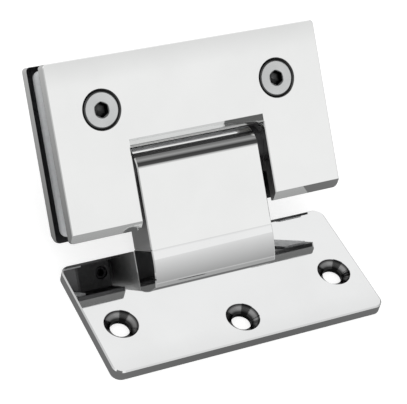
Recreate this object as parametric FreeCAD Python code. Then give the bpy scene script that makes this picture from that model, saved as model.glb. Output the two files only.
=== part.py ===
import FreeCAD, Part
import math
import os

Vector = FreeCAD.Vector

# Glass door hinge for a 135 degree corner, in millimetres and degrees.
# Frame: the wall plate's back face lies on z = 0, +Z points out of the wall,
# X runs along the pivot pin, and the origin is the centre of that back face.

# Wall plate
plate_length = 90.0
plate_depth = 41.5
plate_thick = 3.5
plate_corner = 3.0
plate_edge = 0.4
outer_hole_side_inset = 9.0
outer_hole_inset = 16.4
middle_hole_inset = 8.4
wall_hole_r = 3.0
wall_sink_r = 5.2

# Foot and pivot block
lean = 45.0
block_share = 0.4533
block_thick = 12.4
block_length = 24.2
block_edge = 0.3
foot_run = 15.6
foot_heel = 0.3
foot_bulge = 0.7

# Pin, bushes and washers
pin_r = 4.0
pin_end_r = 3.2
pin_end_length = 6.0
pin_flat_depth = 0.35
pin_flat_half = 3.9
bush_wall = 0.95
bush_detent_gap = 0.7
bore_relief = 0.2
washer_r = 5.7
running_gap = 0.05
fixed_gap = 0.02
end_float = 0.05

# Detent in the block
detent_share = 0.32
plunger_r = 3.4
plunger_head_length = 5.4
plunger_stem_r = 1.5
plunger_rim = 0.3
disc_r = 3.1
disc_hole_r = 1.7
disc_thick = 1.0
disc_dish = 0.3
stem_stop_gap = 2.0
plug_length = 4.2
plug_socket = 3.0

# Clamp leaves, gaskets and glass
leaf_length = 90.0
leaf_height = 52.0
leaf_thick = 3.8
leaf_corner = 1.2
leaf_edge = 0.25
leaf_bevel = 2.6
pin_height_share = 0.3365
nose_clearance = 0.35
cut_clearance = 2.0
glass_thick = 8.0
gasket_thick = 0.6
gasket_inset = 1.5
gasket_corner = 2.2
gasket_notch_margin = 1.2

# Clamp screws and their sleeves
clamp_screw_inset = 15.8
clamp_screw_height_share = 0.445
clamp_screw_r = 3.0
clamp_screw_bite = 2.0
clamp_head_r = 5.6
head_land = 0.4
head_sink = 0.12
clamp_socket = 4.0
clamp_socket_depth = 2.4
boss_r = 4.8
boss_height = 4.4
sleeve_wall = 0.9
sleeve_side_gap = 0.2

# Pin holders between the leaves
holder_share = 0.4956
holder_reach = 8.5
holder_edge = 0.5
holder_screw_r = 1.5
holder_head_r = 2.9
holder_screw_inset = 3.0
holder_screw_up = 4.6
holder_screw_bite = 2.4
holder_socket = 2.0
holder_socket_depth = 1.4
set_screw_r = 2.0
set_screw_inset = 3.1
set_screw_length = 5.2
set_screw_socket = 2.0
pin_set_flat_depth = 0.5

# Screws through the wall plate and the foot into the block
foot_screw_side_inset = 5.4
foot_screw_far_inset = 5.1
foot_screw_r = 2.0
foot_head_r = 3.7
foot_screw_length = 13.2
foot_socket = 2.5
foot_socket_depth = 1.8
thread_gap = 0.05
hole_gap = 0.2
drill_rest = 0.4
socket_ratio = 0.55
screw_tip_ratio = 0.25
grub_rim_ratio = 0.12

# Places that follow from the sizes above
near_edge = -plate_depth / 2
far_edge = plate_depth / 2
half_block = block_thick / 2
block_width = block_share * leaf_length
detent_x = detent_share * block_width / 2
bush_length = block_width / 2 - detent_x - plunger_r - bush_detent_gap
sin_lean = math.sin(math.radians(lean))
cos_lean = math.cos(math.radians(lean))
seat_y = far_edge - half_block * cos_lean
seat_z = plate_thick + foot_heel + half_block * sin_lean
axis_y = seat_y + block_length * sin_lean
axis_z = seat_z + block_length * cos_lean
slot_width = glass_thick + 2 * gasket_thick
clamp_thick = slot_width + 2 * leaf_thick
half_slot = slot_width / 2
half_clamp = clamp_thick / 2
half_cut = block_width / 2 + cut_clearance
holder_end = half_cut + holder_share * (leaf_length / 2 - half_cut)
pin_end = half_cut + pin_end_length
cut_top = half_block + nose_clearance
leaf_bottom = -pin_height_share * leaf_height
leaf_top = leaf_height + leaf_bottom
clamp_screw_x = leaf_length / 2 - clamp_screw_inset
screw_up = cut_top + clamp_screw_height_share * (leaf_top - cut_top)
bush_r = pin_r + running_gap + bush_wall
bore_r = pin_r + bore_relief
signs = (-1, 1)
tolerance = 1e-3


def box(low, high):
    size = [b - a for a, b in zip(low, high)]
    return Part.makeBox(size[0], size[1], size[2], Vector(*low))


def rod(radius, start, end):
    axis = Vector(*end) - Vector(*start)
    return Part.makeCylinder(radius, axis.Length, Vector(*start), axis)


def cone(radius, end_radius, start, end):
    axis = Vector(*end) - Vector(*start)
    return Part.makeCone(radius, end_radius, axis.Length, Vector(*start), axis)


def outline_xz(points, y):
    corners = [Vector(x, y, z) for x, z in points]
    return Part.Face(Part.makePolygon(corners + corners[:1]))


def prism_along_x(points, x_low, x_high):
    corners = [Vector(x_low, y, z) for y, z in points]
    face = Part.Face(Part.makePolygon(corners + corners[:1]))
    return face.extrude(Vector(x_high - x_low, 0, 0))


def edges_like(shape, test):
    found = []
    for edge in shape.Edges:
        ends = [vertex.Point for vertex in edge.Vertexes]
        if len(ends) == 2 and test(ends[0], ends[1]):
            found.append(edge)
    return found


def flat_at(axis, value):
    def test(a, b):
        return all(abs(getattr(point, axis) - value) < tolerance for point in (a, b))
    return test


def corner_edges(shape, axis, corners):
    # Edges that run along one axis and pass through one of the given corners.
    others = [name for name in "xyz" if name != axis]

    def test(a, b):
        if any(abs(getattr(a, name) - getattr(b, name)) > tolerance for name in others):
            return False
        place = [getattr(a, name) for name in others]
        return any(math.dist(place, corner) < tolerance for corner in corners)
    return edges_like(shape, test)


def turned(points):
    # A solid of revolution about Z from a profile of (radius, height).
    corners = [Vector(r, 0, z) for r, z in points]
    face = Part.Face(Part.makePolygon(corners + corners[:1]))
    return face.revolve(Vector(0, 0, 0), Vector(0, 0, 1), 360)


def hexagon(across_flats, depth):
    # A hexagonal prism that goes down from z = 0.
    radius = across_flats / math.sqrt(3)
    angles = [math.radians(60 * n) for n in range(6)]
    corners = [Vector(radius * math.cos(t), radius * math.sin(t), 0) for t in angles]
    face = Part.Face(Part.makePolygon(corners + corners[:1]))
    return face.extrude(Vector(0, 0, -depth))


def sunk_screw(head_r, shank_r, length, socket, socket_depth):
    # Countersunk screw with its head's top at z = 0 and its tip pointing down.
    tip = screw_tip_ratio * shank_r
    profile = [
        (0, 0),
        (head_r, 0),
        (head_r, -head_land),
        (shank_r, -head_land - (head_r - shank_r)),
        (shank_r, -length + tip),
        (shank_r - tip, -length),
        (0, -length),
    ]
    return turned(profile).cut(hexagon(socket, socket_depth))


def grub_screw(radius, length, socket):
    rim = grub_rim_ratio * radius
    profile = [
        (0, 0),
        (radius - rim, 0),
        (radius, -rim),
        (radius, -length + rim),
        (radius - rim, -length),
        (0, -length),
    ]
    return turned(profile).cut(hexagon(socket, socket_ratio * length))


def sunk_hole(head_r, shank_r, length, position, direction):
    # Hole for a countersunk screw, starting at the surface; the cone clears the head's cone a little.
    hole_r = shank_r + hole_gap
    rim_r = head_r + head_sink + head_land + thread_gap
    profile = [(0, 0), (rim_r, 0), (hole_r, hole_r - rim_r), (hole_r, -length), (0, -length)]
    return placed(turned(profile), position, direction)


def placed(shape, position, direction):
    # Turns a part that points down -Z so that it points along direction.
    result = shape.copy()
    turn = FreeCAD.Rotation(Vector(0, 0, -1), Vector(*direction))
    result.Placement = FreeCAD.Placement(Vector(*position), turn)
    return result


def tilted(shape):
    # From the pivot's own frame (x, depth, up) to the leaning place of the clamp and block.
    result = shape.copy()
    turn = FreeCAD.Rotation(Vector(1, 0, 0), -lean)
    place = FreeCAD.Placement(Vector(0, axis_y, axis_z), turn)
    result.Placement = place.multiply(shape.Placement)
    return result


def wall_holes():
    side = plate_length / 2 - outer_hole_side_inset
    outer = near_edge + outer_hole_inset
    return [
        (-side, outer),
        (side, outer),
        (0, near_edge + middle_hole_inset),
    ]


def make_wall_plate():
    half = plate_length / 2
    plate = box((-half, near_edge, 0), (half, far_edge, plate_thick))
    corners = [(x, y) for x in (-half, half) for y in (near_edge, far_edge)]
    plate = plate.makeFillet(plate_corner, corner_edges(plate, "z", corners))
    plate = plate.makeChamfer(plate_edge, edges_like(plate, flat_at("z", plate_thick)))
    sink_depth = wall_sink_r - wall_hole_r
    for x, y in wall_holes():
        plate = plate.cut(rod(wall_hole_r, (x, y, 0), (x, y, plate_thick)))
        top = (x, y, plate_thick)
        plate = plate.cut(cone(wall_sink_r, wall_hole_r, top, (x, y, plate_thick - sink_depth)))
    for sign in signs:
        place = foot_screw_place(sign)
        plate = plate.cut(sunk_hole(foot_head_r, foot_screw_r, plate_thick, place, (0, 0, 1)))
    return plate


def foot_screw_place(sign):
    return (sign * (block_width / 2 - foot_screw_side_inset), far_edge - foot_screw_far_inset, 0)


def make_foot_screw(sign):
    screw = sunk_screw(foot_head_r, foot_screw_r, foot_screw_length, foot_socket, foot_socket_depth)
    x, y, z = foot_screw_place(sign)
    return placed(screw, (x, y, z + head_sink), (0, 0, 1))


def make_foot():
    # Wedge between the wall plate and the block: flat below, leaning seat above,
    # and a slightly crowned front face.
    half = block_width / 2
    front = far_edge - foot_run
    top = (seat_y - half_block * cos_lean, seat_z + half_block * sin_lean)
    low = Vector(-half, front, plate_thick)
    high = Vector(-half, top[0], top[1])
    chord = high - low
    middle = (low + high) / 2 + Vector(0, -chord.z, chord.y) * (foot_bulge / chord.Length)
    heel = Vector(-half, far_edge, plate_thick + foot_heel)
    toe = Vector(-half, far_edge, plate_thick)
    edges = [
        Part.Arc(low, middle, high).toShape(),
        Part.LineSegment(high, heel).toShape(),
        Part.LineSegment(heel, toe).toShape(),
        Part.LineSegment(toe, low).toShape(),
    ]
    foot = Part.Face(Part.Wire(edges)).extrude(Vector(block_width, 0, 0))
    foot = foot.makeChamfer(block_edge, side_edges(foot, half))
    for sign in signs:
        x, y, z = foot_screw_place(sign)
        foot = foot.cut(rod(foot_screw_r + hole_gap, (x, y, z), (x, y, foot_screw_length)))
    return foot


def side_edges(shape, half):
    # Edges round the two end faces at x = -half and x = half, without the bottom ones.
    def test(a, b):
        if abs(a.x - b.x) > tolerance or abs(abs(a.x) - half) > tolerance:
            return False
        return max(a.z, b.z) > plate_thick + foot_heel + tolerance and abs(a.z - b.z) > tolerance
    return edges_like(shape, test)


def make_block():
    # Bar with a full round nose about the pin axis, bored for the pin and the detents.
    half = block_width / 2
    low = -block_length
    bar = box((-half, -half_block, low), (half, half_block, 0))
    nose = rod(half_block, (-half, 0, 0), (half, 0, 0))
    block = bar.fuse(nose).removeSplitter()
    block = block.makeChamfer(block_edge, end_face_edges(block, half))
    block = block.cut(rod(bore_r, (-half, 0, 0), (half, 0, 0)))
    for sign in signs:
        inner = sign * (half - bush_length)
        block = block.cut(rod(bush_r + fixed_gap, (inner, 0, 0), (sign * half, 0, 0)))
        x = sign * detent_x
        block = block.cut(rod(plunger_r + running_gap, (x, 0, low), (x, 0, 0)))
    block = tilted(block)
    for sign in signs:
        x, y, z = foot_screw_place(sign)
        end = head_sink + foot_screw_length + drill_rest
        block = block.cut(rod(foot_screw_r + thread_gap, (x, y, z), (x, y, end)))
    return block


def end_face_edges(shape, half):
    def test(a, b):
        return abs(a.x - b.x) < tolerance and abs(abs(a.x) - half) < tolerance
    return edges_like(shape, test)


def make_bush(sign):
    half = block_width / 2
    start = (sign * (half - bush_length), 0, 0)
    end = (sign * half, 0, 0)
    return tilted(rod(bush_r, start, end).cut(rod(pin_r + running_gap, start, end)))


def make_washer(sign):
    inner = sign * (block_width / 2 + end_float)
    outer = sign * (half_cut - end_float)
    ring = rod(washer_r, (inner, 0, 0), (outer, 0, 0))
    return tilted(ring.cut(rod(pin_r + running_gap, (inner, 0, 0), (outer, 0, 0))))


def make_pin():
    # Stepped pin with four detent flats at each plunger and one clamping flat at each end.
    shoulder = half_cut - end_float
    pin = rod(pin_end_r, (-pin_end, 0, 0), (pin_end, 0, 0))
    pin = pin.fuse(rod(pin_r, (-shoulder, 0, 0), (shoulder, 0, 0)))
    reach = 2 * pin_r
    for sign in signs:
        middle = sign * detent_x
        low_x = middle - pin_flat_half
        high_x = middle + pin_flat_half
        flat = box((low_x, -reach, -reach), (high_x, reach, -pin_r + pin_flat_depth))
        for quarter in range(4):
            turned_flat = flat.copy()
            turned_flat.rotate(Vector(0, 0, 0), Vector(1, 0, 0), 90 * quarter)
            pin = pin.cut(turned_flat)
        start = sign * (half_cut + set_screw_inset - set_screw_r)
        low_x, high_x = sorted([start, sign * (pin_end + reach)])
        pin = pin.cut(box((low_x, -reach, -reach), (high_x, reach, -pin_end_r + pin_set_flat_depth)))
    return tilted(pin)


def make_plunger(sign):
    # Flat-topped plunger whose stem guides the disc springs.
    top = -pin_r - running_gap
    shoulder = top - plunger_head_length
    tip = plug_top() + stem_stop_gap
    profile = [
        (0, top),
        (plunger_r - plunger_rim, top),
        (plunger_r, top - plunger_rim),
        (plunger_r, shoulder),
        (plunger_stem_r, shoulder),
        (plunger_stem_r, tip),
        (0, tip),
    ]
    body = turned(profile)
    body.translate(Vector(sign * detent_x, 0, 0))
    return tilted(body)


def plug_top():
    return -block_length + fixed_gap + plug_length


def make_spring(sign):
    # Stack of disc springs that fills the space under the plunger, each dished
    # the other way from the one before, so that they meet at their rims in turn.
    low = plug_top() + fixed_gap
    high = -pin_r - running_gap - plunger_head_length - fixed_gap
    count = int((high - low) / (disc_thick + disc_dish))
    pitch = (high - low) / count
    rise = pitch - disc_thick
    discs = []
    for n in range(count):
        inner, outer = (rise, 0) if n % 2 else (0, rise)
        disc = turned([
            (disc_hole_r, inner + disc_thick),
            (disc_r, outer + disc_thick),
            (disc_r, outer),
            (disc_hole_r, inner),
        ])
        disc.translate(Vector(sign * detent_x, 0, low + n * pitch))
        discs.append(disc)
    return tilted(Part.makeCompound(discs))


def make_plug(sign):
    plug = grub_screw(plunger_r, plug_length, plug_socket)
    x = sign * detent_x
    return tilted(placed(plug, (x, 0, plug_top() - plug_length), (0, 0, 1)))


def leaf_outline(y):
    half = leaf_length / 2
    return outline_xz([
        (-half, leaf_bottom),
        (-half_cut, leaf_bottom),
        (-half_cut, cut_top),
        (half_cut, cut_top),
        (half_cut, leaf_bottom),
        (half, leaf_bottom),
        (half, leaf_top),
        (-half, leaf_top),
    ], y)


def bevel_prism(face, height, x_low, x_high):
    # Corner wedge between an outer face at depth = face and an underside at z = height.
    inward = -math.copysign(leaf_bevel, face)
    points = [(face, height), (face, height + leaf_bevel), (face + inward, height)]
    return prism_along_x(points, x_low, x_high)


def make_leaf(sign):
    # sign = -1 is the front leaf and sign = 1 the rear one, in the pivot's frame.
    outer = sign * half_clamp
    inner = sign * half_slot
    half = leaf_length / 2
    leaf = leaf_outline(outer).extrude(Vector(0, inner - outer, 0))
    corners = [(x, z) for x in (-half, half) for z in (leaf_bottom, leaf_top)]
    leaf = leaf.makeFillet(leaf_corner, corner_edges(leaf, "y", corners))
    leaf = leaf.makeChamfer(leaf_edge, edges_like(leaf, flat_at("y", outer)))
    leaf = leaf.cut(bevel_prism(outer, cut_top, -half_cut, half_cut))
    leaf = leaf.cut(bevel_prism(outer, leaf_bottom, -half, -half_cut))
    leaf = leaf.cut(bevel_prism(outer, leaf_bottom, half_cut, half))
    return leaf


def make_front_leaf():
    leaf = make_leaf(-1)
    for sign in signs:
        place = (sign * clamp_screw_x, -half_clamp, screw_up)
        leaf = leaf.cut(sunk_hole(clamp_head_r, clamp_screw_r, leaf_thick, place, (0, 1, 0)))
    return tilted(leaf)


def make_rear_leaf():
    # The rear leaf carries a tapped boss for each clamp screw and tapped holes for the pin holders.
    leaf = make_leaf(1)
    for sign in signs:
        x = sign * clamp_screw_x
        start = (x, half_slot - boss_height, screw_up)
        leaf = leaf.fuse(rod(boss_r, start, (x, half_slot, screw_up)))
        end = (x, half_slot + clamp_screw_bite + drill_rest, screw_up)
        leaf = leaf.cut(rod(clamp_screw_r + thread_gap, start, end))
        for x, z in holder_screw_places(sign):
            end = (x, half_slot + holder_screw_bite + drill_rest, z)
            leaf = leaf.cut(rod(holder_screw_r + thread_gap, (x, half_slot, z), end))
    return tilted(leaf)


def holder_screw_places(sign):
    x = sign * (holder_end - holder_screw_inset)
    return [(x, -holder_screw_up), (x, holder_screw_up)]


def make_gasket(sign):
    # Thin U-shaped sheet stuck inside a leaf, open round the pin holders and the screws.
    wall = sign * half_slot
    face = sign * (half_slot - gasket_thick)
    half = leaf_length / 2 - gasket_inset
    notch = holder_end + gasket_notch_margin
    notch_top = holder_reach + gasket_notch_margin
    low = leaf_bottom + gasket_inset
    high = leaf_top - gasket_inset
    sheet = outline_xz([
        (-half, low),
        (-notch, low),
        (-notch, notch_top),
        (notch, notch_top),
        (notch, low),
        (half, low),
        (half, high),
        (-half, high),
    ], wall).extrude(Vector(0, face - wall, 0))
    corners = [(x, z) for x in (-half, half) for z in (low, high)]
    sheet = sheet.makeFillet(gasket_corner, corner_edges(sheet, "y", corners))
    hole_r = boss_r + sleeve_wall + sleeve_side_gap
    for side in signs:
        x = side * clamp_screw_x
        sheet = sheet.cut(rod(hole_r, (x, wall, screw_up), (x, face, screw_up)))
    return tilted(sheet)


def make_clamp_screw(sign):
    length = leaf_thick + slot_width + clamp_screw_bite - head_sink
    screw = sunk_screw(clamp_head_r, clamp_screw_r, length, clamp_socket, clamp_socket_depth)
    place = (sign * clamp_screw_x, -half_clamp + head_sink, screw_up)
    return tilted(placed(screw, place, (0, 1, 0)))


def make_sleeve(sign):
    x = sign * clamp_screw_x
    start = (x, -half_slot, screw_up)
    end = (x, half_slot, screw_up)
    inner_r = boss_r + running_gap
    return tilted(rod(inner_r + sleeve_wall, start, end).cut(rod(inner_r, start, end)))


def make_holder(sign):
    # Saddle block that carries one pin end between the leaves.
    x_low, x_high = sorted([sign * half_cut, sign * holder_end])
    holder = box((x_low, -half_slot, -holder_reach), (x_high, half_slot, holder_reach))
    corners = [(x, z) for x in (x_low, x_high) for z in (-holder_reach, holder_reach)]
    holder = holder.makeChamfer(holder_edge, corner_edges(holder, "y", corners))
    bore_end = sign * (pin_end + drill_rest)
    holder = holder.cut(rod(pin_end_r + fixed_gap, (sign * half_cut, 0, 0), (bore_end, 0, 0)))
    x = sign * (half_cut + set_screw_inset)
    holder = holder.cut(rod(set_screw_r + thread_gap, (x, 0, -holder_reach), (x, 0, 0)))
    for x, z in holder_screw_places(sign):
        hole = sunk_hole(holder_head_r, holder_screw_r, slot_width, (x, -half_slot, z), (0, 1, 0))
        holder = holder.cut(hole)
    return tilted(holder)


def make_holder_screws(sign):
    length = slot_width + holder_screw_bite - head_sink
    screw = sunk_screw(holder_head_r, holder_screw_r, length, holder_socket, holder_socket_depth)
    screws = []
    for x, z in holder_screw_places(sign):
        screws.append(placed(screw, (x, -half_slot + head_sink, z), (0, 1, 0)))
    return tilted(Part.makeCompound(screws))


def make_set_screw(sign):
    screw = grub_screw(set_screw_r, set_screw_length, set_screw_socket)
    top = -pin_end_r + pin_set_flat_depth - fixed_gap
    x = sign * (half_cut + set_screw_inset)
    return tilted(placed(screw, (x, 0, top - set_screw_length), (0, 0, 1)))


def make_parts():
    parts = {
        "wall_plate": make_wall_plate(),
        "foot_wedge": make_foot(),
        "pivot_block": make_block(),
        "pivot_pin": make_pin(),
        "front_leaf": make_front_leaf(),
        "rear_leaf": make_rear_leaf(),
        "front_gasket": make_gasket(-1),
        "rear_gasket": make_gasket(1),
    }
    handed = {
        "foot_screw": make_foot_screw,
        "pin_bush": make_bush,
        "thrust_washer": make_washer,
        "detent_plunger": make_plunger,
        "detent_spring": make_spring,
        "detent_plug": make_plug,
        "clamp_screw": make_clamp_screw,
        "screw_sleeve": make_sleeve,
        "pin_holder": make_holder,
        "holder_screws": make_holder_screws,
        "pin_set_screw": make_set_screw,
    }
    for name, make in handed.items():
        parts[f"{name}_left"] = make(-1)
        parts[f"{name}_right"] = make(1)
    return parts


os.makedirs("parts", exist_ok=True)
for name, shape in make_parts().items():
    shape.exportStep(f"parts/{name}.step")
    solids = len(shape.Solids)
    print(f"{name}: {solids} solid(s), {shape.Volume / 1000:.3f} cm3, valid {shape.isValid()}")
print(f"pin axis at y {axis_y:.3f}, z {axis_z:.3f}; clamp {clamp_thick:.2f} thick")
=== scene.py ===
import math

import bpy
import numpy as np
from mathutils import Matrix, Vector


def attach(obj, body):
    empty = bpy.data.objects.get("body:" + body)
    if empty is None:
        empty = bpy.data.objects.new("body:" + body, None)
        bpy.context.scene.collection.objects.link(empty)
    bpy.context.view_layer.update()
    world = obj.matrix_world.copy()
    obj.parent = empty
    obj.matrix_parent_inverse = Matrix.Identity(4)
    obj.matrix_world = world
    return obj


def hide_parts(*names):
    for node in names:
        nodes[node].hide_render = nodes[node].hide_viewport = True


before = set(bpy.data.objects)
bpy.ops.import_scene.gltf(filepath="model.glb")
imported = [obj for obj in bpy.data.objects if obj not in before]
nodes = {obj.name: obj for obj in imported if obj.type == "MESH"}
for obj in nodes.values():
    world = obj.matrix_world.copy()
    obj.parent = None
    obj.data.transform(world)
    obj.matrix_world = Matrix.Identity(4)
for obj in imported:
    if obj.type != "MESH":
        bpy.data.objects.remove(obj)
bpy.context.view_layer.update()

# Sizes are in millimetres in the dictionaries and become metres in the meshes.
mm = 0.001

# The pivot's own frame leans back: x along the pin, depth through the clamp, up along it.
pivot = {"y": 33.478, "z": 25.296, "lean": 45.0}


def fromPivot(points):
    # rotates (x, depth, up) about X by the lean and moves it to the pin's axis
    lean = math.radians(pivot["lean"])
    x, depth, up = points[..., 0], points[..., 1], points[..., 2]
    y = pivot["y"] + depth * math.cos(lean) + up * math.sin(lean)
    z = pivot["z"] - depth * math.sin(lean) + up * math.cos(lean)
    return np.stack([x, y, z], -1)


def asPlaced(points):
    return points


# meshes from grids of points


def gridFaces(rows, columns):
    # quads of a grid whose columns close on themselves
    row, column = np.meshgrid(np.arange(rows - 1), np.arange(columns), indexing="ij")
    after = (column + 1) % columns
    quads = [row * columns + column, row * columns + after,
             (row + 1) * columns + after, (row + 1) * columns + column]
    return np.stack(quads, -1).reshape(-1, 4)


def closedFaces(rows, columns, start):
    # the grid's quads and a fan at each end, for points that begin at index start
    quads = gridFaces(rows, columns)
    around = np.arange(columns)
    after = (around + 1) % columns
    total = rows * columns
    first = np.stack([np.full(columns, total), after, around], -1)
    base = total - columns
    last = np.stack([np.full(columns, total + 1), base + around, base + after], -1)
    return [face for part in (quads, first, last) for face in (part + start).tolist()]


def closedMesh(name, grids, recess):
    # closed skins over grids of rings; recess says from 0 to 1 how much painted shade a ring's points get
    points, faces, depths = [], [], []
    start = 0
    for grid in grids:
        rows, columns = grid.shape[:2]
        points += [grid.reshape(-1, 3), grid[0].mean(0)[None], grid[-1].mean(0)[None]]
        faces += closedFaces(rows, columns, start)
        depths += [recess.reshape(-1), recess[0, :1], recess[-1, :1]]
        start += rows * columns + 2
    mesh = bpy.data.meshes.new(name)
    mesh.from_pydata((np.vstack(points) * mm).tolist(), [], faces)
    shade = mesh.attributes.new("recess", "FLOAT", "POINT")
    shade.data.foreach_set("value", np.concatenate(depths).astype(np.float32))
    mesh.update()
    mesh.shade_smooth()
    piece = bpy.data.objects.new(name, mesh)
    bpy.context.scene.collection.objects.link(piece)
    return piece


# screws with their threads and sockets


def hexRadius(angle, acrossFlats):
    # distance from the middle of a hexagon to its side in each direction
    sixth = math.pi / 3
    return acrossFlats / 2 / np.cos((angle + sixth / 2) % sixth - sixth / 2)


def screwRows(spec):
    # the profile's rows: radius, height, share of hexagon, share of thread, recess (painted shade)
    head, shank, length = spec["headR"], spec["shankR"], spec["length"]
    deep, land = spec["socketDepth"], spec["land"]
    inner = spec["socket"] / math.sqrt(3)
    rim, edge, drop = spec["rim"], spec["edge"], spec["drop"]
    rows = [
        (0.02, -deep - 0.25 * inner, 0.0, 0.0, 0.75),
        (0.6 * inner, -deep - 0.08 * inner, 0.5, 0.0, 0.85),
        (inner, -deep, 1.0, 0.0, 1.0),
        (inner, -deep + 0.1 * rim, 1.0, 0.0, 1.0),
        (inner, -1.5 * rim, 1.0, 0.0, 0.95),
        (inner, -rim, 1.0, 0.0, 0.9),
        (1.05 * inner, -0.2 * rim, 0.3, 0.0, 0.25),
        (1.08 * inner, 0.0, 0.0, 0.0, 0.0),
        (1.12 * inner, 0.0, 0.0, 0.0, 0.0),
        (head - edge - rim, 0.0, 0.0, 0.0, 0.0),
        (head - edge - 0.4 * rim, 0.0, 0.0, 0.0, 0.0),
        (head - edge + 0.4 * rim, -0.12 * drop, 0.0, 0.0, 0.7),
        (head - 0.1 * edge, -0.85 * drop, 0.0, 0.0, 0.88),
        (head, -drop, 0.0, 0.0, 0.9),
    ]
    threadTop = -1.6 * drop
    if spec["sunk"]:
        under = -land - (head - shank)
        rows += [(head, -land, 0.0, 0.0, 0.5), (shank, under, 0.0, 0.0, 0.5)]
        threadTop = under - spec["neck"]
    tip = spec["tip"]
    bottom = -length + tip
    count = int(max(8, (threadTop - bottom) / spec["pitch"] * 8))
    rows += [(shank, height, 0.0, 1.0, 0.2) for height in np.linspace(threadTop, bottom, count)]
    rows += [(shank - tip, -length, 0.0, 0.0, 0.1), (0.02, -length, 0.0, 0.0, 0.1)]
    return np.array(rows)


def screwGrid(spec):
    # Profile of (radius, height) turned about Z. In the socket the radius is that of a
    # hexagon, and along the shank a triangle wave of height minus angle cuts the thread.
    radius, height, hexed, threaded, recess = screwRows(spec).T[..., None]
    angle = np.linspace(0, 2 * math.pi, spec["around"], endpoint=False)[None, :]
    inner = spec["socket"] / math.sqrt(3)
    six = hexRadius(angle, spec["socket"]) * radius / inner
    wave = np.abs(((height / spec["pitch"] - angle / (2 * math.pi)) % 1) * 2 - 1)
    r = (1 - hexed) * radius + hexed * six - threaded * spec["threadDepth"] * wave
    grid = np.stack([r * np.cos(angle), r * np.sin(angle), height + 0 * angle], -1)
    # the thread's roots get more painted shade
    return grid, recess + 0.6 * threaded * wave


# Rows of a turn are the images of the screw's x, y and z, where z is its top side.
tipBack = [(1, 0, 0), (0, 0, 1), (0, -1, 0)]
tipUp = [(1, 0, 0), (0, -1, 0), (0, 0, -1)]


def makeScrews(name, spec, toFrame, body, node):
    # one closed skin for each of the places in spec, all in one mesh
    grid, recess = screwGrid(spec)
    grids = [toFrame(np.array(place) + grid @ np.array(spec["turn"], float)) for place in spec["places"]]
    piece = closedMesh(name, grids, recess)
    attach(piece, body)
    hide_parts(node)
    return piece


clampScrew = {
    "headR": 5.6, "shankR": 3.0, "length": 14.88, "socket": 4.0, "socketDepth": 2.4, "rim": 0.12,
    "edge": 0.5, "drop": 0.34,
    "land": 0.4, "neck": 2.2, "pitch": 1.0, "tip": 0.75, "threadDepth": 0.42,
    "sunk": True, "around": 72, "x": 29.2, "depth": -8.28, "up": [18.99], "turn": tipBack,
}

footScrew = {
    "headR": 3.7, "shankR": 2.0, "length": 13.2, "socket": 2.5, "socketDepth": 1.8, "rim": 0.1,
    "edge": 0.3, "drop": 0.25,
    "land": 0.4, "neck": 0.6, "pitch": 0.7, "tip": 0.5, "threadDepth": 0.3,
    "sunk": True, "around": 48, "x": 15.0, "depth": 15.65, "up": [0.12], "turn": tipUp,
}

holderScrew = {
    "headR": 2.9, "shankR": 1.5, "length": 11.48, "socket": 2.0, "socketDepth": 1.4, "rim": 0.08,
    "edge": 0.25, "drop": 0.25,
    "land": 0.4, "neck": 0.6, "pitch": 0.5, "tip": 0.37, "threadDepth": 0.22,
    "sunk": True, "around": 36, "x": 30.6, "depth": -4.48, "up": [-4.6, 4.6], "turn": tipBack,
}

detentPlug = {
    "headR": 3.4, "shankR": 3.4, "length": 4.2, "socket": 3.0, "socketDepth": 2.0, "rim": 0.1,
    "edge": 0.35, "drop": 0.35,
    "land": 0.0, "neck": 0.0, "pitch": 1.0, "tip": 0.4, "threadDepth": 0.42,
    "sunk": False, "around": 48, "x": 6.53, "depth": 0.0, "up": [-24.18], "turn": tipUp,
}

pinSetScrew = {
    "headR": 2.0, "shankR": 2.0, "length": 5.2, "socket": 2.0, "socketDepth": 2.6, "rim": 0.08,
    "edge": 0.25, "drop": 0.25,
    "land": 0.0, "neck": 0.0, "pitch": 0.7, "tip": 0.3, "threadDepth": 0.3,
    "sunk": False, "around": 36, "x": 25.5, "depth": 0.0, "up": [-7.92], "turn": tipUp,
}


def makeBothSides(name, spec, toFrame, body, node):
    # the left and the right piece of one kind, mirrored in x
    pieces = []
    for side, sign in (("left", -1), ("right", 1)):
        placed = dict(spec, places=[(sign * spec["x"], spec["depth"], up) for up in spec["up"]])
        pieces.append(makeScrews(name + side.title(), placed, toFrame, body, node + "_" + side))
    return pieces


screws = {}
for node, name, spec, toFrame, body, slot in (
    ("clamp_screw", "clampScrewDressed", clampScrew, fromPivot, "door_side", "chrome_screw"),
    ("foot_screw", "footScrewDressed", footScrew, asPlaced, "wall_side", "steel"),
    ("holder_screws", "holderScrewDressed", holderScrew, fromPivot, "door_side", "steel"),
    ("detent_plug", "detentPlugDressed", detentPlug, fromPivot, "wall_side", "steel"),
    ("pin_set_screw", "pinSetScrewDressed", pinSetScrew, fromPivot, "door_side", "steel"),
):
    screws[node] = makeBothSides(name, spec, toFrame, body, node)
print("screw pieces made:", 2 * len(screws))


# materials


def newMaterial(name):
    material = bpy.data.materials.new(name)
    material.use_nodes = True
    return material


def addNode(tree, kind, **values):
    node = tree.nodes.new(kind)
    for key, value in values.items():
        setattr(node, key, value)
    return node


def setInputs(node, values):
    for key, value in values.items():
        node.inputs[key].default_value = value


def newGroup(name, inputs, outputs):
    # an empty group with named sockets, its input node and its output node
    tree = bpy.data.node_groups.new(name, "ShaderNodeTree")
    for label, kind, value in inputs:
        socket = tree.interface.new_socket(label, in_out="INPUT", socket_type=kind)
        if value is not None:
            socket.default_value = value
    for label, kind in outputs:
        tree.interface.new_socket(label, in_out="OUTPUT", socket_type=kind)
    return tree, addNode(tree, "NodeGroupInput"), addNode(tree, "NodeGroupOutput")


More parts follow.
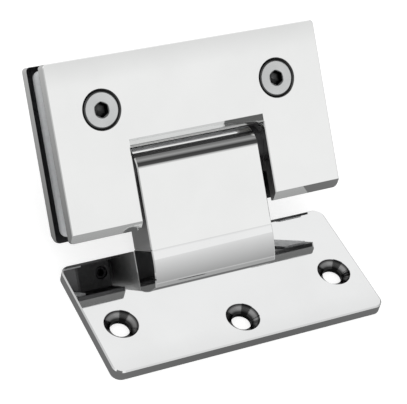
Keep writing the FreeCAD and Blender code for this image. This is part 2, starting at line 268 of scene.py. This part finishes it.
def makeHazeGroup():
    # Faint smudges and fine scratches of a polished plate: a tint, a roughness and a height.
    tree, source, result = newGroup("polishHaze", [
        ("Position", "NodeSocketVector", None), ("Tone", "NodeSocketColor", None),
        ("Smooth", "NodeSocketFloat", 0.03), ("Rough", "NodeSocketFloat", 0.09),
        ("Smudge Scale", "NodeSocketFloat", 60.0), ("Scratch Scale", "NodeSocketFloat", 900.0),
    ], [("Color", "NodeSocketColor"), ("Roughness", "NodeSocketFloat"), ("Height", "NodeSocketFloat")])
    smudge = addNode(tree, "ShaderNodeTexNoise")
    setInputs(smudge, {"Detail": 3.0, "Roughness": 0.55})
    scratch = addNode(tree, "ShaderNodeTexNoise")
    setInputs(scratch, {"Detail": 2.0, "Roughness": 0.6, "Distortion": 0.3})
    stretch = addNode(tree, "ShaderNodeMapping")
    setInputs(stretch, {"Scale": (0.05, 1.0, 1.0)})
    rough = addNode(tree, "ShaderNodeMapRange")
    setInputs(rough, {"From Min": 0.35, "From Max": 0.75})
    tint = addNode(tree, "ShaderNodeMix", data_type="RGBA", blend_type="MULTIPLY")
    tint.inputs["Factor"].default_value = 1.0
    shade = addNode(tree, "ShaderNodeMapRange")
    setInputs(shade, {"From Min": 0.3, "From Max": 0.8, "To Min": 1.0, "To Max": 0.965})
    scratchShare = 0.06
    height = addNode(tree, "ShaderNodeMath", operation="MULTIPLY_ADD")
    height.inputs[1].default_value = scratchShare
    link = tree.links.new
    link(source.outputs["Position"], smudge.inputs["Vector"])
    link(source.outputs["Smudge Scale"], smudge.inputs["Scale"])
    link(source.outputs["Position"], stretch.inputs["Vector"])
    link(stretch.outputs[0], scratch.inputs["Vector"])
    link(source.outputs["Scratch Scale"], scratch.inputs["Scale"])
    link(smudge.outputs["Fac"], rough.inputs["Value"])
    link(source.outputs["Smooth"], rough.inputs["To Min"])
    link(source.outputs["Rough"], rough.inputs["To Max"])
    link(rough.outputs[0], result.inputs["Roughness"])
    link(smudge.outputs["Fac"], shade.inputs["Value"])
    link(source.outputs["Tone"], tint.inputs["A"])
    link(shade.outputs[0], tint.inputs["B"])
    link(tint.outputs["Result"], result.inputs["Color"])
    link(scratch.outputs["Fac"], height.inputs[0])
    link(smudge.outputs["Fac"], height.inputs[2])
    link(height.outputs[0], result.inputs["Height"])
    return tree


def makeSeatGroup():
    # how far a point lies from the line through Centre along Axis
    tree, source, result = newGroup("seatDistance", [
        ("Position", "NodeSocketVector", None), ("Centre", "NodeSocketVector", None),
        ("Axis", "NodeSocketVector", None),
    ], [("Distance", "NodeSocketFloat")])
    offset = addNode(tree, "ShaderNodeVectorMath", operation="SUBTRACT")
    across = addNode(tree, "ShaderNodeVectorMath", operation="CROSS_PRODUCT")
    length = addNode(tree, "ShaderNodeVectorMath", operation="LENGTH")
    link = tree.links.new
    link(source.outputs["Position"], offset.inputs[0])
    link(source.outputs["Centre"], offset.inputs[1])
    link(offset.outputs[0], across.inputs[0])
    link(source.outputs["Axis"], across.inputs[1])
    link(across.outputs[0], length.inputs[0])
    link(length.outputs["Value"], result.inputs["Distance"])
    return tree


def makeLatheGroup():
    # Fine rings cut across Axis: a tint, a roughness and a height that follow one noise along it.
    tree, source, result = newGroup("latheRings", [
        ("Position", "NodeSocketVector", None), ("Axis", "NodeSocketVector", None),
        ("Tone", "NodeSocketColor", None), ("Smooth", "NodeSocketFloat", 0.2),
        ("Rough", "NodeSocketFloat", 0.4), ("Rings", "NodeSocketFloat", 6000.0),
    ], [("Color", "NodeSocketColor"), ("Roughness", "NodeSocketFloat"), ("Height", "NodeSocketFloat")])
    along = addNode(tree, "ShaderNodeVectorMath", operation="DOT_PRODUCT")
    rings = addNode(tree, "ShaderNodeTexNoise", noise_dimensions="1D")
    setInputs(rings, {"Detail": 2.0, "Roughness": 0.7})
    rough = addNode(tree, "ShaderNodeMapRange")
    setInputs(rough, {"From Min": 0.3, "From Max": 0.7})
    shade = addNode(tree, "ShaderNodeMapRange")
    setInputs(shade, {"From Min": 0.3, "From Max": 0.7, "To Min": 0.85, "To Max": 1.0})
    tint = addNode(tree, "ShaderNodeMix", data_type="RGBA", blend_type="MULTIPLY")
    tint.inputs["Factor"].default_value = 1.0
    link = tree.links.new
    link(source.outputs["Position"], along.inputs[0])
    link(source.outputs["Axis"], along.inputs[1])
    link(along.outputs["Value"], rings.inputs["W"])
    link(source.outputs["Rings"], rings.inputs["Scale"])
    link(rings.outputs["Fac"], rough.inputs["Value"])
    link(source.outputs["Smooth"], rough.inputs["To Min"])
    link(source.outputs["Rough"], rough.inputs["To Max"])
    link(rings.outputs["Fac"], shade.inputs["Value"])
    link(source.outputs["Tone"], tint.inputs["A"])
    link(shade.outputs[0], tint.inputs["B"])
    link(tint.outputs["Result"], result.inputs["Color"])
    link(rough.outputs[0], result.inputs["Roughness"])
    link(rings.outputs["Fac"], result.inputs["Height"])
    return tree


def makeGrainGroup():
    # Grain of a cast or moulded skin: coarse pits over a fine noise.
    tree, source, result = newGroup("castGrain", [
        ("Position", "NodeSocketVector", None), ("Tone", "NodeSocketColor", None),
        ("Worn", "NodeSocketColor", None), ("Smooth", "NodeSocketFloat", 0.4),
        ("Rough", "NodeSocketFloat", 0.6), ("Grain", "NodeSocketFloat", 900.0),
    ], [("Color", "NodeSocketColor"), ("Roughness", "NodeSocketFloat"), ("Height", "NodeSocketFloat")])
    fine = addNode(tree, "ShaderNodeTexNoise")
    setInputs(fine, {"Detail": 4.0, "Roughness": 0.6})
    coarse = addNode(tree, "ShaderNodeTexVoronoi")
    pitShare = 0.35
    wide = addNode(tree, "ShaderNodeMath", operation="MULTIPLY")
    wide.inputs[1].default_value = pitShare
    patch = addNode(tree, "ShaderNodeMapRange")
    setInputs(patch, {"From Min": 0.45, "From Max": 0.7})
    colour = addNode(tree, "ShaderNodeMix", data_type="RGBA")
    rough = addNode(tree, "ShaderNodeMapRange")
    setInputs(rough, {"From Min": 0.3, "From Max": 0.7})
    height = addNode(tree, "ShaderNodeMath", operation="MULTIPLY")
    link = tree.links.new
    link(source.outputs["Position"], fine.inputs["Vector"])
    link(source.outputs["Grain"], fine.inputs["Scale"])
    link(source.outputs["Grain"], wide.inputs[0])
    link(source.outputs["Position"], coarse.inputs["Vector"])
    link(wide.outputs[0], coarse.inputs["Scale"])
    link(fine.outputs["Fac"], patch.inputs["Value"])
    link(patch.outputs[0], colour.inputs["Factor"])
    link(source.outputs["Tone"], colour.inputs["A"])
    link(source.outputs["Worn"], colour.inputs["B"])
    link(fine.outputs["Fac"], rough.inputs["Value"])
    link(source.outputs["Smooth"], rough.inputs["To Min"])
    link(source.outputs["Rough"], rough.inputs["To Max"])
    link(fine.outputs["Fac"], height.inputs[0])
    link(coarse.outputs["Distance"], height.inputs[1])
    link(colour.outputs["Result"], result.inputs["Color"])
    link(rough.outputs[0], result.inputs["Roughness"])
    link(height.outputs[0], result.inputs["Height"])
    return tree


hazeGroup = makeHazeGroup()
seatGroup = makeSeatGroup()
latheGroup = makeLatheGroup()
grainGroup = makeGrainGroup()

# Depth of a bump in metres, and how closely a face has to point along a direction to count.
fineRelief = 0.00002
castRelief = 0.0001
facingLimit = 0.95


def finished(name, group, values, metallic, bump, distance):
    # a material whose colour, roughness and bump come from one of the groups
    material = newMaterial(name)
    tree = material.node_tree
    shader = tree.nodes["Principled BSDF"]
    setInputs(shader, {"Metallic": metallic})
    place = addNode(tree, "ShaderNodeTexCoord")
    surface = addNode(tree, "ShaderNodeGroup", node_tree=group)
    setInputs(surface, values)
    raised = addNode(tree, "ShaderNodeBump")
    setInputs(raised, {"Strength": bump, "Distance": distance})
    link = tree.links.new
    link(place.outputs["Object"], surface.inputs["Position"])
    link(surface.outputs["Color"], shader.inputs["Base Color"])
    link(surface.outputs["Roughness"], shader.inputs["Roughness"])
    link(surface.outputs["Height"], raised.inputs["Height"])
    link(raised.outputs[0], shader.inputs["Normal"])
    return material


def polished(name, tone, smooth=0.02, rough=0.06):
    values = {"Tone": (*tone, 1), "Smooth": smooth, "Rough": rough}
    return finished(name, hazeGroup, values, metallic=1.0, bump=0.05, distance=fineRelief)


def turned(name, tone, axis, smooth=0.22, rough=0.4):
    values = {"Tone": (*tone, 1), "Axis": axis, "Smooth": smooth, "Rough": rough}
    return finished(name, latheGroup, values, metallic=1.0, bump=0.3, distance=fineRelief)


def grained(name, tone, worn, metallic, grain, smooth, rough, bump):
    values = {"Tone": (*tone, 1), "Worn": (*worn, 1), "Grain": grain, "Smooth": smooth, "Rough": rough}
    return finished(name, grainGroup, values, metallic, bump, castRelief)


def ramp(tree, value, low, high, toLow, toHigh, smooth=True):
    # a number that runs from toLow to toHigh while the value runs from low to high
    node = addNode(tree, "ShaderNodeMapRange", interpolation_type="SMOOTHSTEP" if smooth else "LINEAR")
    setInputs(node, {"From Min": low, "From Max": high, "To Min": toLow, "To Max": toHigh})
    tree.links.new(value, node.inputs["Value"])
    return node.outputs[0]


def toneStops(tree, value, stops):
    # a tone that follows the value, in metres, through stops of (millimetres, tone)
    low, high = stops[0][0], stops[-1][0]
    along = ramp(tree, value, low * mm, high * mm, 0.0, 1.0, False)
    node = addNode(tree, "ShaderNodeValToRGB")
    for place, tone in stops[1:-1]:
        node.color_ramp.elements.new((place - low) / (high - low))
    for stop, (place, tone) in zip(node.color_ramp.elements, stops):
        stop.color = (tone, tone, tone, 1)
    tree.links.new(along, node.inputs["Fac"])
    return node.outputs["Color"]


def overlay(material, mask, tone, roughness):
    # where the mask is 1, the surface gets another roughness and tone, which may follow a socket
    tree = material.node_tree
    shader = tree.nodes["Principled BSDF"]
    for key, kind, value in (("Base Color", "RGBA", tone), ("Roughness", "FLOAT", roughness)):
        mix = addNode(tree, "ShaderNodeMix", data_type=kind)
        before = shader.inputs[key].links[0].from_socket
        tree.links.new(mask, mix.inputs["Factor"])
        tree.links.new(before, mix.inputs["A"])
        if isinstance(value, bpy.types.NodeSocket):
            tree.links.new(value, mix.inputs["B"])
        else:
            mix.inputs["B"].default_value = (*value, 1) if kind == "RGBA" else value
        tree.links.new(mix.outputs["Result"], shader.inputs[key])


def paintSeatShade(material, seats):
    # the seats round the holes get painted shade: a darker tone over the polished face, with their own
    # roughness
    tree = material.node_tree
    place = addNode(tree, "ShaderNodeTexCoord")
    nearest = None
    for centre in seats["centres"]:
        seat = addNode(tree, "ShaderNodeGroup", node_tree=seatGroup)
        setInputs(seat, {"Centre": [v * mm for v in centre], "Axis": seats["axis"]})
        tree.links.new(place.outputs["Object"], seat.inputs["Position"])
        if nearest is None:
            nearest = seat.outputs["Distance"]
            continue
        least = addNode(tree, "ShaderNodeMath", operation="MINIMUM")
        tree.links.new(nearest, least.inputs[0])
        tree.links.new(seat.outputs["Distance"], least.inputs[1])
        nearest = least.outputs[0]
    radius, edge = seats["radius"] * mm, seats["edge"] * mm
    mask = ramp(tree, nearest, radius - edge, radius, 1.0, 0.0)
    overlay(material, mask, toneStops(tree, nearest, seats["tones"]), seats["roughness"])


def paintSlotShade(material, inside):
    # Inside the glass slot the leaves get painted shade, near black: a mask from the depth through the clamp.
    tree = material.node_tree
    place = addNode(tree, "ShaderNodeTexCoord")
    depth = addNode(tree, "ShaderNodeVectorMath", operation="DOT_PRODUCT")
    depth.inputs[1].default_value = slantAxis
    centred = addNode(tree, "ShaderNodeMath", operation="SUBTRACT")
    centred.inputs[1].default_value = (pivot["y"] * slantAxis[1] + pivot["z"] * slantAxis[2]) * mm
    size = addNode(tree, "ShaderNodeMath", operation="ABSOLUTE")
    within = addNode(tree, "ShaderNodeMath", operation="LESS_THAN")
    within.inputs[1].default_value = inside["halfSlot"] * mm
    link = tree.links.new
    link(place.outputs["Object"], depth.inputs[0])
    link(depth.outputs["Value"], centred.inputs[0])
    link(centred.outputs[0], size.inputs[0])
    link(size.outputs[0], within.inputs[0])
    overlay(material, within.outputs[0], inside["tone"], inside["roughness"])


def dullAndShadedFaces(material, facing, faceLook):
    # faces whose normal points along facing get another tone and roughness: a ground finish on the plate's
    # back and the block's ends, painted shade on the leaves' downward faces
    tree = material.node_tree
    place = addNode(tree, "ShaderNodeTexCoord")
    along = addNode(tree, "ShaderNodeVectorMath", operation="DOT_PRODUCT")
    along.inputs[1].default_value = facing
    faced = addNode(tree, "ShaderNodeMath", operation="GREATER_THAN")
    faced.inputs[1].default_value = facingLimit
    tree.links.new(place.outputs["Normal"], along.inputs[0])
    tree.links.new(along.outputs["Value"], faced.inputs[0])
    overlay(material, faced.outputs[0], faceLook["tone"], faceLook["roughness"])


def rimShade(material, rim):
    # the seal is darker towards its two ends, by its distance from the middle along the pin
    tree = material.node_tree
    place = addNode(tree, "ShaderNodeTexCoord")
    split = addNode(tree, "ShaderNodeSeparateXYZ")
    size = addNode(tree, "ShaderNodeMath", operation="ABSOLUTE")
    tree.links.new(place.outputs["Object"], split.inputs[0])
    tree.links.new(split.outputs["X"], size.inputs[0])
    mask = ramp(tree, size.outputs[0], rim["inner"] * mm, rim["outer"] * mm, 0.0, 1.0)
    overlay(material, mask, rim["tone"], rim["roughness"])


def paintRecessShade(material, tone, roughness):
    # the recess attribute of a screw's mesh sets painted shade in its socket, on its head's edge, under its
    # head and in its thread roots
    tree = material.node_tree
    recess = addNode(tree, "ShaderNodeAttribute", attribute_name="recess")
    overlay(material, recess.outputs["Fac"], tone, roughness)


def dress(piece, material):
    piece.data.materials.clear()
    piece.data.materials.append(material)


lean = math.radians(pivot["lean"])
slantAxis = (0, math.cos(lean), -math.sin(lean))
upAxis = (0, math.sin(lean), math.cos(lean))
pinAxis = (1, 0, 0)

# painted shade in the wall plate's countersinks
wallSeatShade = {"centres": [(-36, -4.35, 0), (36, -4.35, 0), (0, -12.35, 0)],
             "axis": (0, 0, 1), "radius": 5.16, "edge": 0.1, "roughness": 0.14,
             # the tones 0.24 and 0.28 between 3.9 and 4.4 mm are a painted reflection ring
             "tones": [(2.9, 0.03), (3.4, 0.03), (3.9, 0.24), (4.4, 0.28), (4.85, 0.05), (5.2, 0.03)]}
# painted shade in the seats of the foot screws
footSeatShade = {"centres": [(-15, 15.65, 0), (15, 15.65, 0)],
             "axis": (0, 0, 1), "radius": 4.25, "edge": 0.1, "roughness": 0.3,
             "tones": [(2.0, 0.06), (4.25, 0.12)]}
screwPlaces = [np.array((x, 0.0, clampScrew["up"][0])) for x in (-clampScrew["x"], clampScrew["x"])]
# painted shade in the counterbores round the clamp screws' heads
screwSeatShade = {"centres": [fromPivot(place).tolist() for place in screwPlaces],
              "axis": slantAxis, "radius": 6.15, "edge": 0.06, "roughness": 0.3,
              "tones": [(5.0, 0.06), (5.8, 0.08), (6.2, 0.12)]}
# painted shade, near black, inside the glass slot
slotShade = {"halfSlot": 4.66, "tone": (0.035, 0.035, 0.037), "roughness": 0.35}
plateBack = {"tone": (0.5, 0.5, 0.49), "roughness": 0.38}
blockEnd = {"tone": (0.62, 0.62, 0.62), "roughness": 0.42}
# painted shade on the leaves' downward faces
undersideShade = {"tone": (0.1, 0.1, 0.102), "roughness": 0.3}
sealRim = {"inner": 42.4, "outer": 44.6, "tone": (0.07, 0.075, 0.08), "roughness": 0.4}

plateChrome = polished("plateChrome", (0.83, 0.835, 0.835))
paintSeatShade(plateChrome, wallSeatShade)
paintSeatShade(plateChrome, footSeatShade)
dullAndShadedFaces(plateChrome, (0, 0, -1), plateBack)
footChrome = polished("footChrome", (0.83, 0.835, 0.835))
blockChrome = polished("blockChrome", (0.84, 0.845, 0.84))
dullAndShadedFaces(blockChrome, (-1, 0, 0), blockEnd)
dullAndShadedFaces(blockChrome, (1, 0, 0), blockEnd)
frontLeafChrome = polished("frontLeafChrome", (0.84, 0.845, 0.84))
paintSeatShade(frontLeafChrome, screwSeatShade)
paintSlotShade(frontLeafChrome, slotShade)
dullAndShadedFaces(frontLeafChrome, [-v for v in upAxis], undersideShade)
rearLeafChrome = polished("rearLeafChrome", (0.84, 0.845, 0.84))
paintSlotShade(rearLeafChrome, slotShade)
dullAndShadedFaces(rearLeafChrome, [-v for v in upAxis], undersideShade)
screwChrome = polished("screwChrome", (0.64, 0.65, 0.65), 0.12, 0.25)
# painted shade in the sockets, head edges and thread roots
paintRecessShade(screwChrome, (0.012, 0.012, 0.013), 0.5)
screwSteel = polished("screwSteel", (0.3, 0.3, 0.31), 0.25, 0.4)
blackSteel = polished("blackSteel", (0.06, 0.06, 0.063), 0.3, 0.45)
for steel in (screwSteel, blackSteel):
    paintRecessShade(steel, (0.02, 0.02, 0.02), 0.55)
pinSteel = turned("pinSteel", (0.55, 0.56, 0.57), pinAxis)
plungerSteel = turned("plungerSteel", (0.45, 0.46, 0.47), upAxis)
springSteel = turned("springSteel", (0.3, 0.31, 0.34), upAxis, 0.3, 0.5)
bushBronze = turned("bushBronze", (0.62, 0.42, 0.2), pinAxis, 0.28, 0.45)
washerAcetal = grained("washerAcetal", (0.022, 0.022, 0.024), (0.035, 0.035, 0.036),
                       metallic=0.0, grain=1500, smooth=0.3, rough=0.45, bump=0.2)
sleeveNylon = grained("sleeveNylon", (0.7, 0.69, 0.66), (0.62, 0.61, 0.58),
                      metallic=0.0, grain=1500, smooth=0.38, rough=0.5, bump=0.2)
holderZinc = grained("holderZinc", (0.1, 0.1, 0.103), (0.14, 0.14, 0.14),
                     metallic=0.4, grain=900, smooth=0.5, rough=0.65, bump=0.12)
gasketVinyl = grained("gasketVinyl", (0.78, 0.79, 0.8), (0.72, 0.73, 0.74),
                      metallic=0.0, grain=700, smooth=0.28, rough=0.42, bump=0.15)
rimShade(gasketVinyl, sealRim)

finishes = {
    "wall_plate": plateChrome, "foot_wedge": footChrome, "pivot_block": blockChrome,
    "front_leaf": frontLeafChrome, "rear_leaf": rearLeafChrome, "pivot_pin": pinSteel,
    "front_gasket": gasketVinyl, "rear_gasket": gasketVinyl,
}
pairFinishes = {
    "pin_bush": bushBronze, "thrust_washer": washerAcetal, "detent_plunger": plungerSteel,
    "detent_spring": springSteel, "screw_sleeve": sleeveNylon, "pin_holder": holderZinc,
    "clamp_screw": screwChrome, "foot_screw": screwSteel, "holder_screws": blackSteel,
    "detent_plug": screwSteel, "pin_set_screw": blackSteel,
}
for base, material in pairFinishes.items():
    for side in ("left", "right"):
        finishes[base + "_" + side] = material
for name, material in finishes.items():
    dress(nodes[name], material)
for base, pieces in screws.items():
    for piece in pieces:
        dress(piece, pairFinishes[base])
print("finished nodes:", len(finishes), "of", len(nodes))

# floor, world and lamps

stage = {"floorHalf": 3.0, "floorDrop": 0.00003, "floorTone": (0.6, 0.6, 0.6), "floorGlow": 0.6,
         "floorRoughness": 0.9, "worldLight": 0.85}


def makeFloor():
    # a sheet just under the part, white to the camera but for the shadow
    half, drop = stage["floorHalf"], stage["floorDrop"]
    corners = [(-half, -half, -drop), (half, -half, -drop), (half, half, -drop), (-half, half, -drop)]
    mesh = bpy.data.meshes.new("floor")
    mesh.from_pydata(corners, [], [(0, 1, 2, 3)])
    floor = bpy.data.objects.new("floor", mesh)
    bpy.context.scene.collection.objects.link(floor)
    material = newMaterial("floorPaper")
    tree = material.node_tree
    shader = tree.nodes["Principled BSDF"]
    setInputs(shader, {"Base Color": (*stage["floorTone"], 1), "Roughness": stage["floorRoughness"]})
    shader.inputs["Emission Color"].default_value = (1, 1, 1, 1)
    path = addNode(tree, "ShaderNodeLightPath")
    glow = addNode(tree, "ShaderNodeMath", operation="MULTIPLY")
    glow.inputs[1].default_value = stage["floorGlow"]
    tree.links.new(path.outputs["Is Camera Ray"], glow.inputs[0])
    tree.links.new(glow.outputs[0], shader.inputs["Emission Strength"])
    floor.data.materials.append(material)
    return floor


makeFloor()


def makeWorld():
    world = bpy.data.worlds.new("studio")
    bpy.context.scene.world = world
    world.use_nodes = True
    tree = world.node_tree
    tree.nodes.clear()
    result = addNode(tree, "ShaderNodeOutputWorld")
    seen = addNode(tree, "ShaderNodeBackground")
    setInputs(seen, {"Color": (1, 1, 1, 1), "Strength": 1.0})
    lit = addNode(tree, "ShaderNodeBackground")
    setInputs(lit, {"Color": (1, 1, 1, 1), "Strength": stage["worldLight"]})
    path = addNode(tree, "ShaderNodeLightPath")
    either = addNode(tree, "ShaderNodeMath", operation="MAXIMUM")
    third = addNode(tree, "ShaderNodeMath", operation="MAXIMUM")
    choose = addNode(tree, "ShaderNodeMixShader")
    link = tree.links.new
    link(path.outputs["Is Camera Ray"], either.inputs[0])
    link(path.outputs["Is Glossy Ray"], either.inputs[1])
    link(either.outputs[0], third.inputs[0])
    link(path.outputs["Is Transmission Ray"], third.inputs[1])
    link(third.outputs[0], choose.inputs["Fac"])
    link(lit.outputs[0], choose.inputs[1])
    link(seen.outputs[0], choose.inputs[2])
    link(choose.outputs[0], result.inputs["Surface"])


makeWorld()

# Cards that only reflections see: the grey table, the room's lower wall, a dark gap
# overhead with a dim strip along it, and the dim place where the camera stands.
cards = {
    "tableSize": 1300.0,
    # the table's tones by distance from the middle hold a painted shadow near the object
    "tableTones": [(0, 0.12), (55, 0.19), (100, 0.36), (135, 0.5), (260, 0.6), (1300, 0.75)],
    "wallRadius": 1400.0, "wallHeight": 900.0, "wallLow": 0.42, "wallHigh": 0.85, "wallSegments": 48,
    "gapHeight": 1200.0, "gapX": (-700.0, 1700.0), "gapFade": 350.0,
    "gapTones": [(-1125, 1.0), (-820, 0.08), (-360, 0.05), (-60, 0.38), (250, 0.2), (480, 0.22), (820, 1.0)],
    "cameraRadius": 240.0, "cameraTone": 0.2, "cameraSegments": 48, "cameraBehind": 20.0,
}


def makeCard(name, corners, faces):
    # a mesh that gives off its own light and is seen by reflections alone
    mesh = bpy.data.meshes.new(name)
    mesh.from_pydata((np.array(corners) * mm).tolist(), [], faces)
    piece = bpy.data.objects.new(name, mesh)
    bpy.context.scene.collection.objects.link(piece)
    material = newMaterial(name + "Tone")
    tree = material.node_tree
    tree.nodes.clear()
    result = addNode(tree, "ShaderNodeOutputMaterial")
    glow = addNode(tree, "ShaderNodeEmission")
    tree.links.new(glow.outputs[0], result.inputs["Surface"])
    piece.data.materials.append(material)
    piece.visible_camera = False
    piece.visible_diffuse = False
    piece.visible_shadow = False
    piece.visible_transmission = False
    return tree, glow


def brightest(tree, first, second):
    node = addNode(tree, "ShaderNodeMath", operation="MAXIMUM")
    tree.links.new(first, node.inputs[0])
    tree.links.new(second, node.inputs[1])
    return node.outputs[0]


def objectAxes(tree):
    place = addNode(tree, "ShaderNodeTexCoord")
    split = addNode(tree, "ShaderNodeSeparateXYZ")
    tree.links.new(place.outputs["Object"], split.inputs[0])
    return split.outputs


def makeTableCard():
    # grey, with a painted shadow: darkest under the object and lighter with the distance from it
    half = cards["tableSize"]
    corners = [(-half, -half, 0), (half, -half, 0), (half, half, 0), (-half, half, 0)]
    tree, glow = makeCard("tableCard", corners, [(0, 1, 2, 3)])
    place = addNode(tree, "ShaderNodeTexCoord")
    distance = addNode(tree, "ShaderNodeVectorMath", operation="LENGTH")
    tree.links.new(place.outputs["Object"], distance.inputs[0])
    tone = toneStops(tree, distance.outputs["Value"], cards["tableTones"])
    tree.links.new(tone, glow.inputs["Color"])


def makeWallCard():
    # a cylinder round the scene, dim near the table and nearly as bright as the room higher up
    angle = np.linspace(0, 2 * math.pi, cards["wallSegments"], endpoint=False)
    ring = np.stack([cards["wallRadius"] * np.cos(angle), cards["wallRadius"] * np.sin(angle), 0 * angle], -1)
    corners = np.vstack([ring, ring + (0, 0, cards["wallHeight"])])
    tree, glow = makeCard("wallCard", corners, gridFaces(2, cards["wallSegments"]).tolist())
    axes = objectAxes(tree)
    tone = ramp(tree, axes["Z"], 0.0, cards["wallHeight"] * mm, cards["wallLow"], cards["wallHigh"], False)
    tree.links.new(tone, glow.inputs["Color"])


def makeGapCard():
    # its tone follows Y through the stops, and turns white towards both ends in X
    (left, right), high = cards["gapX"], cards["gapHeight"]
    near, far = cards["gapTones"][0][0], cards["gapTones"][-1][0]
    corners = [(left, near, high), (right, near, high), (right, far, high), (left, far, high)]
    tree, glow = makeCard("gapCard", corners, [(0, 1, 2, 3)])
    axes = objectAxes(tree)
    across = toneStops(tree, axes["Y"], cards["gapTones"])
    fade = cards["gapFade"]
    leftEnd = ramp(tree, axes["X"], (left + fade) * mm, left * mm, 0.0, 1.0)
    rightEnd = ramp(tree, axes["X"], (right - fade) * mm, right * mm, 0.0, 1.0)
    tone = brightest(tree, across, brightest(tree, leftEnd, rightEnd))
    tree.links.new(tone, glow.inputs["Color"])


def makeCameraCard():
    # a disc behind the camera that faces the object
    count = cards["cameraSegments"]
    angle = np.linspace(0, 2 * math.pi, count, endpoint=False)[:, None]
    right, down, ahead = (np.array(cameraFit[key]) for key in ("right", "down", "ahead"))
    middle = np.array(cameraFit["place"]) / mm - cards["cameraBehind"] * ahead
    ring = middle + cards["cameraRadius"] * (np.cos(angle) * right + np.sin(angle) * down)
    tree, glow = makeCard("cameraCard", ring, [tuple(range(count))])
    tone = cards["cameraTone"]
    setInputs(glow, {"Color": (tone, tone, tone, 1)})


# The camera stands where the photograph's corners, rings and holes put it.
cameraFit = {
    "place": (-0.2263, -0.2727, 0.3756),
    "right": (0.88065, -0.43250, 0.19338),
    "down": (-0.17848, -0.68099, -0.71021),
    "ahead": (0.43886, 0.59093, -0.67691),
    "lens": 152.63, "shiftX": 0.0265, "shiftY": -0.1091,
    "sensor": 36.0, "nearest": 0.01, "farthest": 20.0,
}

makeTableCard()
makeWallCard()
makeGapCard()
makeCameraCard()
print("room made")


keyLamp = {"place": (-0.2, -0.35, 0.6), "aim": (0, 0.02, 0.02), "size": 0.5, "power": 0.6}


def makeLamp(name, spec):
    # a soft round lamp that reflections don't see
    data = bpy.data.lights.new(name, "AREA")
    data.shape = "DISK"
    data.size = spec["size"]
    data.energy = spec["power"]
    lamp = bpy.data.objects.new(name, data)
    lamp.location = spec["place"]
    direction = np.array(spec["aim"]) - np.array(spec["place"])
    lamp.rotation_euler = Vector(direction).to_track_quat("-Z", "Y").to_euler()
    lamp.visible_glossy = False
    bpy.context.scene.collection.objects.link(lamp)


makeLamp("keyLamp", keyLamp)

# camera


def makeCamera():
    data = bpy.data.cameras.new("camera")
    data.sensor_fit = "HORIZONTAL"
    data.sensor_width = cameraFit["sensor"]
    data.lens = cameraFit["lens"]
    data.shift_x = cameraFit["shiftX"]
    data.shift_y = cameraFit["shiftY"]
    data.clip_start = cameraFit["nearest"]
    data.clip_end = cameraFit["farthest"]
    camera = bpy.data.objects.new("camera", data)
    right = np.array(cameraFit["right"])
    up = -np.array(cameraFit["down"])
    back = -np.array(cameraFit["ahead"])
    matrix = np.eye(4)
    matrix[:3, 0], matrix[:3, 1], matrix[:3, 2] = right, up, back
    matrix[:3, 3] = cameraFit["place"]
    camera.matrix_world = Matrix(matrix.tolist())
    bpy.context.scene.collection.objects.link(camera)
    bpy.context.scene.camera = camera


makeCamera()
bpy.context.scene.view_settings.view_transform = "Standard"
